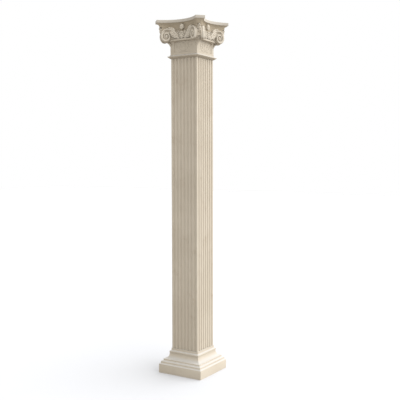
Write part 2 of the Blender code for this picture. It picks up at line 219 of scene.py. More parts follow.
# Geometry Nodes: bends flat carving on to the hollow wall, mirrors it and turns it to four faces
def ringTree(name, material):
    tree = bpy.data.node_groups.new(name, "GeometryNodeTree")
    face = tree.interface
    face.new_socket("Geometry", in_out="INPUT", socket_type="NodeSocketGeometry")
    for label, kind, value in (("Wall Radius", "NodeSocketFloat", wallRadius),
                               ("Wall Centre", "NodeSocketFloat", hollowCentre),
                               ("Bend", "NodeSocketBool", True),
                               ("Mirror", "NodeSocketBool", True),
                               ("Faces", "NodeSocketInt", 4)):
        face.new_socket(label, in_out="INPUT", socket_type=kind).default_value = value
    face.new_socket("Geometry", in_out="OUTPUT", socket_type="NodeSocketGeometry")
    nodes, links = tree.nodes, tree.links

    def node(kind, **values):
        made = nodes.new(kind)
        for key, value in values.items():
            setattr(made, key, value)
        return made

    def maths(operation, first, second=None):
        made = node("ShaderNodeMath", operation=operation)
        for socket, value in zip(made.inputs, (first, second)):
            if isinstance(value, (int, float)):
                socket.default_value = value
            elif value is not None:
                links.new(value, socket)
        return made.outputs[0]

    # Bend: x becomes an arc along the wall and y the depth behind it
    given = node("NodeGroupInput")
    place = node("GeometryNodeInputPosition")
    parts = node("ShaderNodeSeparateXYZ")
    links.new(place.outputs[0], parts.inputs[0])
    turn = maths("DIVIDE", parts.outputs["X"], given.outputs["Wall Radius"])
    reach = maths("ADD", parts.outputs["Y"], given.outputs["Wall Radius"])
    across = maths("MULTIPLY", reach, maths("SINE", turn))
    away = maths("SUBTRACT", maths("MULTIPLY", reach, maths("COSINE", turn)), given.outputs["Wall Centre"])
    bent = node("ShaderNodeCombineXYZ")
    links.new(across, bent.inputs["X"])
    links.new(away, bent.inputs["Y"])
    links.new(parts.outputs["Z"], bent.inputs["Z"])
    bend = node("GeometryNodeSetPosition")
    links.new(given.outputs["Geometry"], bend.inputs["Geometry"])
    links.new(given.outputs["Bend"], bend.inputs["Selection"])
    links.new(bent.outputs[0], bend.inputs["Position"])

    # Mirror: the other half of the face, with its normals turned out again
    mirror = node("GeometryNodeTransform")
    mirror.inputs["Scale"].default_value = (-1, 1, 1)
    links.new(bend.outputs[0], mirror.inputs["Geometry"])
    flip = node("GeometryNodeFlipFaces")
    links.new(mirror.outputs[0], flip.inputs[0])
    choice = node("GeometryNodeSwitch", input_type="GEOMETRY")
    links.new(given.outputs["Mirror"], choice.inputs["Switch"])
    links.new(flip.outputs[0], choice.inputs["True"])
    both = node("GeometryNodeJoinGeometry")
    links.new(bend.outputs[0], both.inputs[0])
    links.new(choice.outputs[0], both.inputs[0])

    # One copy for each face, made real
    spots = node("GeometryNodePoints")
    links.new(given.outputs["Faces"], spots.inputs["Count"])
    index = node("GeometryNodeInputIndex")
    angle = maths("DIVIDE", maths("MULTIPLY", index.outputs[0], 2 * pi), given.outputs["Faces"])
    turns = node("ShaderNodeCombineXYZ")
    links.new(angle, turns.inputs["Z"])
    copies = node("GeometryNodeInstanceOnPoints")
    links.new(spots.outputs[0], copies.inputs["Points"])
    links.new(both.outputs[0], copies.inputs["Instance"])
    links.new(turns.outputs[0], copies.inputs["Rotation"])
    real = node("GeometryNodeRealizeInstances")
    links.new(copies.outputs[0], real.inputs[0])
    paint = node("GeometryNodeSetMaterial")
    paint.inputs["Material"].default_value = material
    links.new(real.outputs[0], paint.inputs["Geometry"])
    result = node("NodeGroupOutput")
    links.new(paint.outputs[0], result.inputs[0])
    return tree


def ringed(made, tree, name, bend, mirror):
    # Bends, mirrors and turns an object to all faces, as a plain mesh
    modifier = made.modifiers.new("ring", "NODES")
    modifier.node_group = tree
    given = {"Bend": bend, "Mirror": mirror}
    for item in tree.interface.items_tree:
        if item.item_type == "SOCKET" and item.in_out == "INPUT" and item.name in given:
            modifier[item.identifier] = given[item.name]
    return baked(made, name)


# Cast stone, one material for the three pieces
stoneLook = {
    "colour": (0.425, 0.369, 0.288),
    "pale": (0.460, 0.404, 0.320),
    "warm": (0.375, 0.312, 0.232),
    # Painted shade on faces that look down and painted light on faces that look up
    "paintedUnderShade": (0.300, 0.250, 0.185),
    "paintedTopLight": (0.420, 0.396, 0.354),
    # Painted shade in the hollows and painted light on the raised carving
    "paintedHollowShade": (0.338, 0.281, 0.200),
    "paintedReliefLight": (0.478, 0.425, 0.343),
    "greyTop": (0.400, 0.362, 0.302),
    "cloud": {"scale": 2.6, "detail": 5.0, "rough": 0.6, "ramp": (0.38, 0.66)},
    "stain": {"scale": 10.92, "detail": 6.0, "rough": 0.7, "ramp": (0.54, 0.80)},
    "grain": {"scale": 260.0, "detail": 3.0, "rough": 0.7, "ramp": (0.60, 0.78)},
    "greyTopRamp": (2.990, 2.996),  # levels at which it begins and is full
    # Ramps of the painted light on tops and the painted shade on undersides
    "paintedTopLightRamp": (0.20, 0.80),  # how far a face looks up
    "paintedUnderShadeRamp": (-0.25, -0.95),
    "pitSize": 95.0,
    "pitRamp": (0.04, 0.20),
    "roughness": 0.86,
    "specular": 0.25,
    "bump": 0.25,
    "bumpDepth": 0.0012,
}


def castStone():
    material = bpy.data.materials.new("castStone")
    material.use_nodes = True
    nodes, links = material.node_tree.nodes, material.node_tree.links
    shader = nodes["Principled BSDF"]
    shader.inputs["Roughness"].default_value = stoneLook["roughness"]
    shader.inputs["Metallic"].default_value = 0.0
    shader.inputs["Specular IOR Level"].default_value = stoneLook["specular"]
    where = nodes.new("ShaderNodeTexCoord")

    def noise(name):
        made = nodes.new("ShaderNodeTexNoise")
        made.inputs["Scale"].default_value = stoneLook[name]["scale"]
        made.inputs["Detail"].default_value = stoneLook[name]["detail"]
        made.inputs["Roughness"].default_value = stoneLook[name]["rough"]
        links.new(where.outputs["Object"], made.inputs["Vector"])
        return made.outputs["Fac"]

    def ramp(value, ends):
        made = nodes.new("ShaderNodeMapRange")
        made.interpolation_type = "SMOOTHSTEP"
        made.inputs["From Min"].default_value, made.inputs["From Max"].default_value = ends
        links.new(value, made.inputs["Value"])
        return made.outputs["Result"]

    def height(vector):
        made = nodes.new("ShaderNodeSeparateXYZ")
        links.new(vector, made.inputs[0])
        return made.outputs["Z"]

    def mix(factor, first, second):
        made = nodes.new("ShaderNodeMix")
        made.data_type = "RGBA"
        links.new(factor, made.inputs["Factor"])
        for socket, value in ((made.inputs[6], first), (made.inputs[7], second)):
            if isinstance(value, tuple):
                socket.default_value = (*value, 1.0)
            else:
                links.new(value, socket)
        return made.outputs[2]

    # Soft clouds, stains and a fine grain
    grain = noise("grain")
    body = mix(ramp(noise("cloud"), stoneLook["cloud"]["ramp"]), stoneLook["colour"], stoneLook["pale"])
    body = mix(ramp(noise("stain"), stoneLook["stain"]["ramp"]), body, stoneLook["warm"])
    body = mix(ramp(grain, stoneLook["grain"]["ramp"]), body, stoneLook["warm"])

    # The top edge of the abacus, above the given levels, is greyer
    level = height(where.outputs["Object"])
    body = mix(ramp(level, stoneLook["greyTopRamp"]), body, stoneLook["greyTop"])

    # Painted light: faces that look up are paler. Painted shade: faces that look down are darker
    facing = height(nodes.new("ShaderNodeNewGeometry").outputs["Normal"])
    for name in ("paintedTopLight", "paintedUnderShade"):
        body = mix(ramp(facing, stoneLook[name + "Ramp"]), body, stoneLook[name])

    # Painted shade: hollows deep behind the wall are darker and browner. Painted light: carving that
    # stands forward is paler
    for name in ("paintedHollowShade", "paintedReliefLight"):
        mark = nodes.new("ShaderNodeAttribute")
        mark.attribute_name = name
        body = mix(mark.outputs["Fac"], body, stoneLook[name])
    links.new(body, shader.inputs["Base Color"])

    # Pits and grain in the surface
    pits = nodes.new("ShaderNodeTexVoronoi")
    pits.inputs["Scale"].default_value = stoneLook["pitSize"]
    links.new(where.outputs["Object"], pits.inputs["Vector"])
    relief = nodes.new("ShaderNodeMath")
    relief.operation = "ADD"
    links.new(ramp(pits.outputs["Distance"], stoneLook["pitRamp"]), relief.inputs[0])
    links.new(grain, relief.inputs[1])
    bump = nodes.new("ShaderNodeBump")
    bump.inputs["Strength"].default_value = stoneLook["bump"]
    bump.inputs["Distance"].default_value = stoneLook["bumpDepth"]
    links.new(relief.outputs[0], bump.inputs["Height"])
    links.new(bump.outputs["Normal"], shader.inputs["Normal"])
    return material


stone = castStone()
ring = ringTree("ringOfFaces", stone)
print("stone and tree ready")


def turnedProfile(profile, radius, cornerRadius=0.0022, cornerSteps=4):
    # Closed square body with rounded corners, from pairs of (half side, level)
    rings = []
    for half, level, _ in eased([(half, level, 0.0) for half, level in profile], radius, False):
        section = [(x * half, y * half, level) for x, y in squareCorners]
        rings.append(eased(section, cornerRadius, True, cornerSteps))
    return loft(rings)


# Base
baseForm = {
    "plinthSide": 0.428, "plinthHeight": 0.075,
    "steps": ((0.404, 0.013), (0.370, 0.012)), "weathering": 0.009,
    "cavettoFoot": 0.362, "cavettoTop": 0.291, "cavettoHeight": 0.052, "cavettoSteps": 20,
    "filletSide": 0.297, "filletRise": 0.013,
    "seatWeathering": 0.007, "seatRise": 0.018,
    "arris": 0.0016, "sharpFrom": 40,
}


def makeBase():
    form = baseForm
    level = form["plinthHeight"]
    profile = [(form["plinthSide"] / 2, 0.0), (form["plinthSide"] / 2, level)]
    for side, rise in form["steps"]:
        level += form["weathering"]
        profile += [(side / 2, level), (side / 2, level + rise)]
        level += rise
    foot = (form["cavettoFoot"] / 2, level)
    level += form["cavettoHeight"]
    profile += quarter(foot, (form["cavettoTop"] / 2, level), form["cavettoSteps"], False)
    profile.append((form["filletSide"] / 2, level))
    level += form["filletRise"]
    profile.append((form["filletSide"] / 2, level))
    level += form["seatWeathering"]
    profile.append((column["seatSide"] / 2, level))
    level += form["seatRise"]
    profile.append((column["seatSide"] / 2, level))
    base = gather("baseStone", [turnedProfile(profile, form["arris"])])
    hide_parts("base")
    finished(base, stone, form["sharpFrom"])
    return level


shaftFoot = makeBase()
print("base done")

# Shaft
shaftForm = {
    "side": 0.260, "flutes": 7, "fluteWidth": 0.0215, "fluteDepth": 0.0085, "border": 0.0160,
    "fluteSteps": 14, "arris": 0.0010, "arrisSteps": 2, "arrisFrom": 50, "cornerArris": 0.0018,
    "weld": 1e-6, "sharpFrom": 42,
}


def fluteLine():
    # Section of one face, with half of the rounded corner at each end
    form = shaftForm
    half = form["side"] / 2
    first = form["border"] + form["fluteWidth"] / 2 - half
    pitch = -2 * first / (form["flutes"] - 1)
    ease = form["cornerArris"]
    turns = (pi / 4, 3 * pi / 8, pi / 2)
    corner = [(ease * (1 - cos(turn)) - half, ease * (1 - sin(turn)) - half, 0.0) for turn in turns]
    line = list(corner)
    for index in range(form["flutes"]):
        for step in range(form["fluteSteps"] + 1):
            turn = pi * step / form["fluteSteps"]
            along = first + pitch * index - form["fluteWidth"] / 2 * cos(turn)
            line.append((along, form["fluteDepth"] * sin(turn) - half, 0.0))
    line += [(-x, y, 0.0) for x, y, _ in reversed(corner)]
    return eased(line, form["arris"], False, form["arrisSteps"], radians(form["arrisFrom"]))


def makeShaft():
    line = fluteLine()
    count = len(line)
    levels = (shaftFoot + column["bedJoint"], capitalBed - column["bedJoint"])
    points = [(point.x, point.y, up) for up in levels for point in line]
    faces = [(i, i + 1, count + i + 1, count + i) for i in range(count - 1)]
    strip = bpy.data.meshes.new("fluteFace")
    strip.from_pydata(points, [], faces)
    shaft = ringed(placed("fluteFace", strip), ring, "shaftStone", False, False)

    # The four faces meet at the corners, and each end is closed
    work = bmesh.new()
    work.from_mesh(shaft.data)
    bmesh.ops.remove_doubles(work, verts=work.verts, dist=shaftForm["weld"])
    bmesh.ops.holes_fill(work, edges=[edge for edge in work.edges if edge.is_boundary], sides=0)
    bmesh.ops.recalc_face_normals(work, faces=work.faces)
    work.to_mesh(shaft.data)
    work.free()
    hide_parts("shaft")
    finished(shaft, stone, shaftForm["sharpFrom"])


makeShaft()
print("shaft done")

# Capital: astragal, necking, core and abacus
capitalForm = {
    "astragalSide": 0.307, "undercut": 0.015, "nose": 0.004, "crown": 0.018, "crownSteps": 10,
    "neckSide": 0.268, "neckHeight": 0.066, "flare": 0.040, "flareSteps": 18,
    "lipSide": 0.324, "lipFace": 0.014, "lipTopSide": 0.296, "lipTopRise": 0.006,
    "panelWidth": 0.190, "panelSill": 0.010, "panelHeight": 0.088, "panelCamber": 0.006,
    "panelCorner": 0.014, "panelSide": 0.261, "panelSteps": 8,
    "fillet": 0.024, "coveDepth": 0.022, "coveSetback": 0.030, "bedLip": 0.008,
    "coveSteps": 12, "coreInset": 0.0245, "coreSetback": 0.060, "coreTail": 0.005,
    "hornInset": 0.0225, "hornSetback": 0.046, "hornDrop": 0.098, "hornTail": 0.007,
    "arris": 0.0012, "hollowSteps": 28, "hollowArrisFrom": 25, "sharpFrom": 38,
    # Depths and top of the painted shade in the hollows of the capital
    "paintedShadeDepths": (-0.011, 0.002), "paintedShadeTop": 0.001,
}
neckFoot = capitalBed + capitalForm["undercut"] + capitalForm["nose"] + capitalForm["crown"]
lipLevel = neckFoot + capitalForm["neckHeight"] + capitalForm["flare"]
lipTop = lipLevel + capitalForm["lipFace"]
panelFoot = neckFoot + capitalForm["panelSill"]


def toFace(face):
    return Matrix.Rotation(face * pi / 2, 3, "Z")


def hollowPlan(inset, setback, level):
    # Four hollow sides between corners cut back on the diagonal
    form = capitalForm
    radius = hollowRadius + inset
    cutLine = halfWidth + halfChord - setback * sqrt(2)
    end = pi / 4 + asin((cutLine - hollowCentre) / (radius * sqrt(2)))
    plan = []
    for face in range(4):
        for step in range(form["hollowSteps"] + 1):
            angle = end * (2 * step / form["hollowSteps"] - 1)
            spot = Vector((radius * sin(angle), radius * cos(angle) - hollowCentre, level))
            plan.append(toFace(face) @ spot)
    return eased(plan, form["arris"], True, least=radians(form["hollowArrisFrom"]))


def neckShell():
    form = capitalForm
    neck, lip = form["neckSide"] / 2, form["lipSide"] / 2
    astragal = form["astragalSide"] / 2
    nose = capitalBed + form["undercut"]
    crownFoot = nose + form["nose"]
    profile = [(column["seatSide"] / 2, capitalBed), (astragal, nose)]
    profile += quarter((astragal, crownFoot), (neck, neckFoot), form["crownSteps"], False)
    flareFoot = neckFoot + form["neckHeight"]
    profile += quarter((neck, flareFoot), (lip, lipLevel), form["flareSteps"], True)
    profile += [(lip, lipTop), (form["lipTopSide"] / 2, lipTop + form["lipTopRise"])]
    return turnedProfile(profile, form["arris"])


def panelOutline():
    # Square foot, rounded upper corners and a cambered head
    form = capitalForm
    half, corner, steps = form["panelWidth"] / 2, form["panelCorner"], form["panelSteps"]
    high = panelFoot + form["panelHeight"]
    rounding = []
    for step in range(steps + 1):
        turn = step / steps * pi / 2
        rounding.append((half - corner * (1 - cos(turn)), high - corner * (1 - sin(turn))))
    camber = []
    for step in range(1, 2 * steps):
        share = 1 - step / steps
        camber.append(((half - corner) * share, high + form["panelCamber"] * (1 - share * share)))
    otherSide = [(-along, up) for along, up in reversed(rounding)]
    return [(-half, panelFoot), (half, panelFoot)] + rounding + camber + otherSide


def makeNeck():
    neck = gather("neck", [neckShell()])
    outline = panelOutline()
    depths = (capitalForm["panelSide"] / 2, capitalForm["lipSide"])
    cutters = []
    for face in range(4):
        rings = [[toFace(face) @ Vector((along, -depth, up)) for along, up in outline] for depth in depths]
        cutter = gather("cutter", [loft(rings)])
        cut = neck.modifiers.new("panel", "BOOLEAN")
        cut.operation = "DIFFERENCE"
        cut.solver = "EXACT"
        cut.object = cutter
        cutters.append(cutter)
    neck = baked(neck, "neck")
    for cutter in cutters:
        bpy.data.objects.remove(cutter, do_unlink=True)
    return neck


def abacusShell():
    form = capitalForm
    depth = form["coveDepth"]
    coveFoot, coveTop = abacusBed + form["bedLip"], column["height"] - form["fillet"]
    section = [(depth, abacusBed)]
    section += quarter((depth, coveFoot), (0.0, coveTop), form["coveSteps"], True)
    section += [(0.0, column["height"]), (depth, column["height"])]
    section = eased([(inset, up, 0.0) for inset, up in section], form["arris"], False)
    cut = form["coveSetback"] / depth
    return loft([hollowPlan(point.x, point.x * cut, point.y) for point in section])


def makeBody():
    form = capitalForm
    coreLevels = (lipLevel + form["lipFace"] / 2, abacusBed + form["coreTail"])
    hornLevels = (abacusBed - form["hornDrop"], abacusBed + form["hornTail"])
    core = loft([hollowPlan(form["coreInset"], form["coreSetback"], up) for up in coreLevels])
    horns = loft([hollowPlan(form["hornInset"], form["hornSetback"], up) for up in hornLevels])
    body = joined("capitalStone", [makeNeck(), gather("upper", [abacusShell(), core, horns])])
    # Painted shade: darker, browner colour in the hollows behind the wall, up to the fillet
    paintedShadeLevels = (lipTop + form["lipTopRise"], column["height"] - form["fillet"] + form["paintedShadeTop"])
    marked(body, "paintedHollowShade", paintedShadeLevels, form["paintedShadeDepths"])
    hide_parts("capital")
    finished(body, stone, form["sharpFrom"])


makeBody()
print("capital body done")

# Volutes and helices, drawn flat: x along the wall, y into it, z up. Growth is how many times
# wider a turn is than the next one in, and pocket is the turn over which the pocket becomes the ring
voluteForm = {
    "radius": 0.066, "growth": 2.0, "squeeze": 0.84, "turns": 1.55, "stepsPerTurn": 52,
    "thickness": 0.018, "along": 0.141, "drop": 0.078, "swell": 0.006, "rib": 0.0085,
    "groove": 0.0035, "eye": 0.0155, "pocket": 0.16,
}
stalkForm = {
    "footAlong": 0.020, "footDrop": 0.095, "footWidth": 0.018, "belly": 0.016, "rib": 0.009,
    "depth": 0.020, "steps": 44, "firstPull": (0.36, 0.22), "lastPull": (0.42, 0.004),
}
helixForm = {
    "radius": 0.024, "growth": 1.9, "squeeze": 1.0, "turns": 1.6, "stepsPerTurn": 30,
    "thickness": 0.018, "along": 0.042, "drop": 0.054, "swell": 0.005, "rib": 0.007,
    "groove": 0.003, "eye": 0.0080, "pocket": 0.10,
}
vineForm = {
    "foot": (0.016, -0.042), "footWidth": 0.008, "belly": 0.004, "rib": 0.007,
    "depth": 0.018, "steps": 24, "firstPull": (0.020, 0.016), "lastPull": (0.032, 0.003),
}
scrollForm = {
    "pocketFrom": 0.62, "pocketTo": 0.87,  # shares of the stalk over which it opens
    "stalkSwell": 0.003,
    "fade": 2.6,  # how fast the relief runs out at the eye
    "floorReach": 0.96, "floorDepth": 0.9, "floorSides": 36, "eyeSides": 32,
}
# Across the band from its outer edge: share, then the height in the stalk, in the pocket
# that it opens into and in the ring
bandProfile = (
    (0.0, 0.30, 0.10, 0.02), (0.02, 0.60, 0.55, 0.28), (0.06, 0.86, 0.90, 0.55), (0.12, 1.0, 1.0, 0.80),
    (0.19, 0.92, 0.92, 0.95), (0.25, 0.62, 0.50, 1.0), (0.30, 0.34, -0.15, 1.0), (0.37, 0.72, -0.80, 0.97),
    (0.46, 0.95, -1.05, 0.92), (0.55, 0.80, -1.15, 0.88), (0.62, 0.32, -1.15, 0.84),
    (0.69, 0.55, -1.10, 0.60), (0.76, 0.85, -1.0, 0.10), (0.84, 0.92, -0.75, -0.40),
    (0.92, 0.70, -0.45, -0.55), (1.0, 0.30, -0.40, -0.55),
)
# Round the outer edge from the back: share of the thickness and inset as a share of the band
edgeProfile = ((1.0, 0.0), (0.80, 0.0), (0.70, 0.055), (0.48, 0.085), (0.26, 0.055), (0.16, 0.0))
# Side of the eye: share of its radius, share of the swell and rise over it
eyeProfile = (
    (1.0, 0.6, 0.0), (0.96, 1.0, 0.0012), (0.88, 1.0, 0.0024), (0.80, 1.0, 0.0022), (0.74, 1.0, 0.0010),
    (0.68, 1.0, 0.0008), (0.62, 1.0, 0.0026), (0.50, 1.0, 0.0046), (0.34, 1.0, 0.0058),
    (0.16, 1.0, 0.0064), (0.04, 1.0, 0.0065),
)
eyeFoot = (1.02, 0.002)  # share of its radius and how deep it stands in the groove


def bandWidth(form):
    return form["radius"] * (1 - 1 / form["growth"])


def scrollCentre(form):
    return Vector((form["along"], abacusBed - form["drop"]))


def scrollTop(form):
    # Middle of the band where the stalk becomes the spiral
    centre = scrollCentre(form)
    return Vector((centre.x, centre.y + form["radius"] - bandWidth(form) / 2))


def bandSection(place, shares, rib, swell, back):
    # Front, back and outer edge of the band at one place along it
    front = [place(share, swell + rib * sum(height * weight for height, weight in zip(heights, shares)))
             for share, *heights in bandProfile]
    return front + [place(1.0, -back)] + [place(inset, -back * share) for share, inset in edgeProfile]


def scrollShells(form, stalk, pulls, side):
    # Stalk and spiral as one long band, and the eye. Side is 1 where the band winds outwards
    centre = scrollCentre(form)
    rate = log(form["growth"])
    band = bandWidth(form)
    pocketLength = scrollForm["pocketTo"] - scrollForm["pocketFrom"]
    rings = []
    for step in range(stalk["steps"]):
        t = step / stalk["steps"]
        middle, heading = curvePoint(pulls, t)
        normal = Vector((-heading.y, heading.x)) * side
        width = stalk["footWidth"] + (band - stalk["footWidth"]) * t + stalk["belly"] * sin(pi * t)

        def onStalk(share, out):
            away = (1 - exp(-rate * share)) / (1 - 1 / form["growth"])
            spot = middle + normal * width * (0.5 - away)
            return Vector((spot.x, -out, spot.y))

        pocket = smooth((t - scrollForm["pocketFrom"]) / pocketLength)
        rib = stalk["rib"] + (form["rib"] - stalk["rib"]) * t
        back = stalk["depth"] + (form["thickness"] - stalk["depth"]) * t
        swell = scrollForm["stalkSwell"] * sin(pi * t)
        rings.append(bandSection(onStalk, (1 - pocket, pocket, 0.0), rib, swell, back))
    last = int(form["turns"] * form["stepsPerTurn"])
    for step in range(last + 1):
        turns = step / form["stepsPerTurn"]

        def onSpiral(share, out):
            reach = form["radius"] * exp(-rate * (turns + share))
            turn = 2 * pi * turns
            return Vector((centre.x + side * form["squeeze"] * reach * sin(turn), -out,
                           centre.y + reach * cos(turn)))

        opened = smooth(turns / form["pocket"])
        fade = smooth(scrollForm["fade"] * (last - step) / form["stepsPerTurn"])
        swell = form["swell"] * min(1.0, turns) * fade - form["groove"] * (1 - fade)
        rings.append(bandSection(onSpiral, (0.0, 1 - opened, opened), form["rib"] * fade, swell,
                                 form["thickness"]))

    # Floor of the groove inside the last turn, and the eye on it
    floor = -form["groove"]
    floorReach = form["radius"] / form["growth"] * scrollForm["floorReach"]
    floorProfile = ((1.0, -form["thickness"] * scrollForm["floorDepth"]), (1.0, floor))
    eye = [(eyeFoot[0], floor - eyeFoot[1])]
    eye += [(size, form["swell"] * share + rise) for size, share, rise in eyeProfile]
    return [loft(rings),
            turnedDisc(centre, floorReach, form["squeeze"], floorProfile, scrollForm["floorSides"]),
            turnedDisc(centre, form["eye"], form["squeeze"], eye, scrollForm["eyeSides"])]


def stalkPulls():
    # From the foot beside the middle leaf to the top of the volute, with pulls as shares of the way
    start = Vector((stalkForm["footAlong"], abacusBed - stalkForm["footDrop"]))
    end = scrollTop(voluteForm)
    way = end - start
    (firstAlong, firstUp), (lastAlong, lastUp) = stalkForm["firstPull"], stalkForm["lastPull"]
    return (start, start + Vector((way.x * firstAlong, way.y * firstUp)),
            end + Vector((-way.x * lastAlong, lastUp)), end)


def vinePulls():
    # Leaves the stalk and turns back to the fleuron
    start = scrollCentre(helixForm) + Vector(vineForm["foot"])
    end = scrollTop(helixForm)
    return start, start + Vector(vineForm["firstPull"]), end + Vector(vineForm["lastPull"]), end


# Leaves. Relief and places across are shares of the rise and the half width
leafShape = {
    "crowding": 0.9, "root": 0.5, "spread": 2.4, "blunt": 2.4, "tip": 0.55, "sinus": 0.42,
    "evenness": 0.65, "slope": 0.50,
    "valley": 0.60, "valleyReach": 1.2, "valleyWidth": 2.2,  # between two lobes
    "crease": 0.45, "creaseAt": 0.60, "creaseWidth": 0.11, "creaseLength": 4,
    "pillow": 0.14, "pillowFrom": 0.2,  # on each lobe
    "ribWidth": 0.12, "furrow": 1.1, "furrowAt": 0.24, "furrowWidth": 0.09,
    "footRelief": 0.35, "footRise": 3.0, "curlFrom": 0.60, "leanReach": 1.5,
}
leafForms = {
    "calyx": {"halfWidth": 0.0185, "lobes": 5, "notch": 0.36, "lean": 0.17, "rise": 0.011,
              "rib": 0.0018, "curl": 0.008, "lift": 0.004, "depth": 0.020,
              "lobeSteps": 12, "across": 18},
    "spandrel": {"halfWidth": 0.0110, "lobes": 4, "notch": 0.28, "lean": 0.18, "rise": 0.008,
                 "rib": 0.0010, "curl": 0.004, "lift": 0.002, "depth": 0.020,
                 "lobeSteps": 10, "across": 12},
    "upright": {"halfWidth": 0.0270, "lobes": 4, "notch": 0.32, "lean": 0.20, "rise": 0.012,
                "rib": 0.0024, "curl": 0.010, "lift": 0.004, "depth": 0.020,
                "root": 0.7, "blunt": 3.0, "lobeSteps": 14, "across": 20},
    "panelMiddle": {"halfWidth": 0.0170, "lobes": 5, "notch": 0.36, "lean": 0.16, "rise": 0.0026,
                    "rib": 0.0006, "curl": 0.0, "lift": 0.0, "depth": 0.004,
                    "lobeSteps": 8, "across": 10},
    "panelSide": {"halfWidth": 0.0120, "lobes": 5, "notch": 0.36, "lean": 0.16, "rise": 0.0024,
                  "rib": 0.0005, "curl": 0.0, "lift": 0.0, "depth": 0.004,
                  "lobeSteps": 8, "across": 10},
}
# Courses of the leaves as pairs of (along, up): the sheath's from the stalk's foot and its first
# pull, the spandrel's from the abacus's bed, the upright's from the lip and the panel's from its foot
leafCourses = {
    "sheath": ((0.0, -0.002), (0.0, 0.0), (0.028, 0.016), (0.050, 0.034)),
    "spandrel": ((0.062, -0.038), (0.076, -0.022), (0.096, -0.010), (0.126, -0.006)),
    "upright": ((0.0, 0.0), (0.0, 0.020), (0.0, 0.042), (0.0, 0.062)),
    "panelMiddle": ((0.0, 0.0), (0.0, 0.026), (0.0, 0.050), (0.0, 0.074)),
    "panelOuter": ((0.010, 0.0), (0.040, 0.004), (0.070, 0.022), (0.072, 0.060)),
    "panelInner": ((0.008, 0.010), (0.022, 0.022), (0.042, 0.034), (0.040, 0.066)),
}
sprayFoot = 0.006  # of the panel's leaves over its sill


def leafGrid(form):
    # Rows of (share along, share of the half width, relief) for an acanthus leaf
    shape = leafShape
    steps, across = form["lobeSteps"] * form["lobes"], form["across"]
    root, blunt = form.get("root", shape["root"]), form.get("blunt", shape["blunt"])
    rows = []
    for i in range(steps + 1):
        t = i / steps
        lobe = abs(sin(pi * form["lobes"] * t ** shape["crowding"]))
        wide = min(1.0, root + shape["spread"] * t) * (1 - t ** blunt) ** shape["tip"]
        edge = wide * (1 - form["notch"] * (1 - lobe ** shape["sinus"]))
        between = 1 - lobe
        curl = form["curl"] * max(0.0, (t - shape["curlFrom"]) / (1 - shape["curlFrom"])) ** 2
        row = []
        for j in range(across + 1):
            even = 2 * j / across - 1
            q = sin(pi / 2 * even) * (1 - shape["evenness"]) + even * shape["evenness"]
            far = abs(q)
            relief = 1 - shape["slope"] * far ** 3
            relief -= shape["valley"] * far ** shape["valleyReach"] * between ** shape["valleyWidth"]
            crease = exp(-((far - shape["creaseAt"]) / shape["creaseWidth"]) ** 2)
            relief -= shape["crease"] * crease * between ** shape["creaseLength"]
            pillow = clamped((far - shape["pillowFrom"]) / (1 - shape["pillowFrom"]))
            relief += shape["pillow"] * lobe * sin(pi * pillow)
            rib = exp(-(q / shape["ribWidth"]) ** 2)
            rib -= shape["furrow"] * exp(-((far - shape["furrowAt"]) / shape["furrowWidth"]) ** 2)
            out = form["rise"] * relief + form["rib"] * rib
            out = out * min(1.0, shape["footRelief"] + shape["footRise"] * t) + curl
            row.append((t + form["lean"] * far ** shape["leanReach"] * (1 - t), q * edge, out))
        rows.append(row)
    return rows


def leafShell(name, pulls):
    # Lobed leaf along a curve on the wall
    form = leafForms[name]
    rings = []
    for cells in leafGrid(form):
        front = []
        for t, q, out in cells:
            spot, heading = curvePoint(pulls, min(t, 1.0))
            if t > 1.0:
                spot = spot + heading * (t - 1.0) * (pulls[3] - pulls[0]).length
            spot = spot + Vector((-heading.y, heading.x)) * q * form["halfWidth"]
            front.append(Vector((spot.x, -out - form["lift"], spot.y)))
        back = [Vector((end.x, form["depth"], end.z)) for end in (front[-1], front[0])]
        rings.append(front + back)
    return loft(rings)


# Fleuron at the middle of each side of the abacus
fleuronForm = {
    "width": 0.038, "height": 0.048, "rise": 0.018, "drop": 0.061, "back": 0.018,
    "petals": 6, "halfWidth": 0.0092, "steps": 12, "across": 8,
    "root": 0.08,  # share of its length at which a petal leaves the boss
    "outlineFrom": 0.10, "outlineTo": 0.96, "widest": 1.15, "fullness": 0.7,
    "foot": 0.42, "arch": 0.50, "archFrom": 0.15, "archTo": 0.87, "cup": 0.0045, "roll": 0.004,
    "bossRadius": 0.0080, "bossSides": 24,
}
bossProfile = ((1.0, -0.018), (1.0, 0.011), (0.92, 0.0145), (0.70, 0.0172), (0.40, 0.0188), (0.10, 0.0193))


def petalShell(level, turn):
    form = fleuronForm
    reach = Vector((form["width"] / 2 * sin(turn), form["height"] / 2 * cos(turn)))
    normal = Vector((-reach.y, reach.x)).normalized()
    rings = []
    for i in range(form["steps"] + 1):
        t = form["root"] + (1 - form["root"]) * i / form["steps"]
        place = form["outlineFrom"] + (form["outlineTo"] - form["outlineFrom"]) * t
        wide = form["halfWidth"] * sin(pi * place ** form["widest"]) ** form["fullness"]
        arch = sin(pi * (form["archFrom"] + (form["archTo"] - form["archFrom"]) * t))
        front = []
        for j in range(form["across"] + 1):
            q = 2 * j / form["across"] - 1
            out = form["rise"] * (form["foot"] + form["arch"] * arch)
            out -= form["cup"] * (1 - abs(q)) + form["roll"] * q ** 4
            spot = reach * t + normal * q * wide
            front.append(Vector((spot.x, -out, level + spot.y)))
        back = [Vector((end.x, form["back"], end.z)) for end in (front[-1], front[0])]
        rings.append(front + back)
    return loft(rings)


def fleuronShells():
    form = fleuronForm
    level = column["height"] - form["drop"]
    shells = [petalShell(level, turn) for turn in around(form["petals"])]
    centre = Vector((0.0, level))
    shells.append(turnedDisc(centre, form["bossRadius"], 1.0, bossProfile, form["bossSides"]))
    return shells


